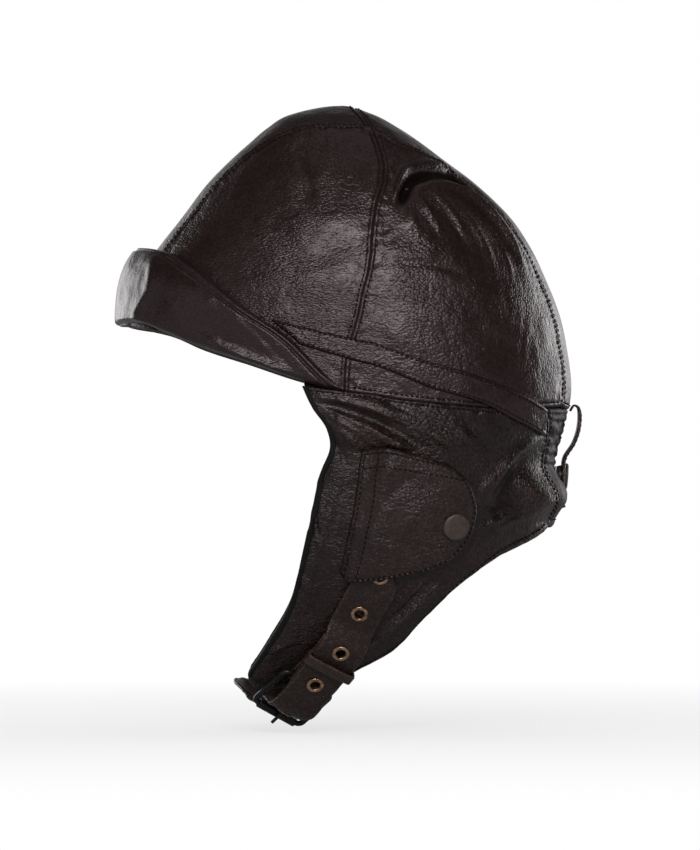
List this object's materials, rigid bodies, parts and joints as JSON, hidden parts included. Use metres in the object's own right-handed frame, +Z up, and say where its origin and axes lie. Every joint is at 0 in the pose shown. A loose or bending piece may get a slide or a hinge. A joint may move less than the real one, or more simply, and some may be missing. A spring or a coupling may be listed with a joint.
{
  "type": "leather aviator cap",
  "caption": "Close-fitting leather flying cap with a panelled crown, turned-up brow band, snapped ear covers, goggle strap tab and a buckled chin strap.",
  "frame": {"origin": "inside of the crown's top, where the wearer's head bears", "axes": "the face looks along -X, the wearer's left ear is on -Y and +Z is up"},
  "size_m": [0.217, 0.1696, 0.2839],
  "materials": {
    "cap_leather": "glossy aniline, wrinkled",
    "brow_leather": "smooth, satin",
    "strap_leather": "satin, creased",
    "lining_cloth": "matt, woven",
    "black_binding": "satin tape",
    "eyelet_brass": "aged",
    "snap_metal": "matt brown-grey",
    "buckle_metal": "black, satin"
  },
  "bodies": {
    "cap": {"brow_band": "brow_leather", "buckle_chape": "strap_leather", "chin_strap": "strap_leather", "crown_lining": "lining_cloth", "front_crown_strip": "cap_leather", "left_ear_flap": "cap_leather", "left_ear_snap_post": "snap_metal", "left_ear_snap_stud": "snap_metal", "left_edge_binding": "black_binding", "left_flap_lining": "lining_cloth", "left_front_crown_panel": "cap_leather", "left_goggle_band": "cap_leather", "left_rear_crown_panel": "cap_leather", "nape_lining": "lining_cloth", "nape_panel": "cap_leather", "nape_snap_post": "snap_metal", "nape_snap_stud": "snap_metal", "rear_crown_strip": "cap_leather", "right_ear_flap": "cap_leather", "right_ear_snap_post": "snap_metal", "right_ear_snap_stud": "snap_metal", "right_edge_binding": "black_binding", "right_flap_lining": "lining_cloth", "right_front_crown_panel": "cap_leather", "right_goggle_band": "cap_leather", "right_rear_crown_panel": "cap_leather", "strap_eyelet_1": "eyelet_brass", "strap_eyelet_2": "eyelet_brass", "strap_eyelet_3": "eyelet_brass", "strap_eyelet_4": "eyelet_brass", "strap_eyelet_5": "eyelet_brass", "strap_keeper": "strap_leather"},
    "left_ear_cover": {"left_ear_cover": "cap_leather", "left_ear_snap_cap": "snap_metal", "left_ear_snap_socket": "snap_metal"},
    "right_ear_cover": {"right_ear_cover": "cap_leather", "right_ear_snap_cap": "snap_metal", "right_ear_snap_socket": "snap_metal"},
    "goggle_tab": {"goggle_tab": "strap_leather", "nape_snap_cap": "snap_metal", "nape_snap_socket": "snap_metal"},
    "buckle_frame": {"buckle_frame": "buckle_metal"},
    "buckle_prong": {"buckle_prong": "buckle_metal"},
    "buckle_roller": {"buckle_roller": "buckle_metal"}
  },
  "joints": [
    {"name": "left_cover_hinge", "type": "hinge", "parent": "cap", "child": "left_ear_cover", "pos_m": [0.00255, -0.07709, -0.18301], "axis": [-0.1705, 0.2004, -0.9648], "range_deg": [0, 150]},
    {"name": "right_cover_hinge", "type": "hinge", "parent": "cap", "child": "right_ear_cover", "pos_m": [0.00255, 0.07709, -0.18301], "axis": [0.1705, 0.2004, 0.9648], "range_deg": [0, 150]},
    {"name": "tab_hinge", "type": "hinge", "parent": "cap", "child": "goggle_tab", "pos_m": [0.1048, 0, -0.13432], "axis": [0, -1, 0], "range_deg": [0, 150]},
    {"name": "buckle_frame_hinge", "type": "hinge", "parent": "cap", "child": "buckle_frame", "pos_m": [-0.01692, -0.04074, -0.26063], "axis": [-0.7784, -0.4359, 0.4517], "range_deg": [-1, 1]},
    {"name": "prong_hinge", "type": "hinge", "parent": "buckle_frame", "child": "buckle_prong", "pos_m": [-0.01692, -0.04074, -0.26063], "axis": [-0.7784, -0.4359, 0.4517], "range_deg": [0, 1.5]},
    {"name": "roller_spin", "type": "hinge", "parent": "buckle_frame", "child": "buckle_roller", "pos_m": [-0.03166, -0.02864, -0.27437], "axis": [-0.7784, -0.4359, 0.4517], "continuous": true}
  ]
}
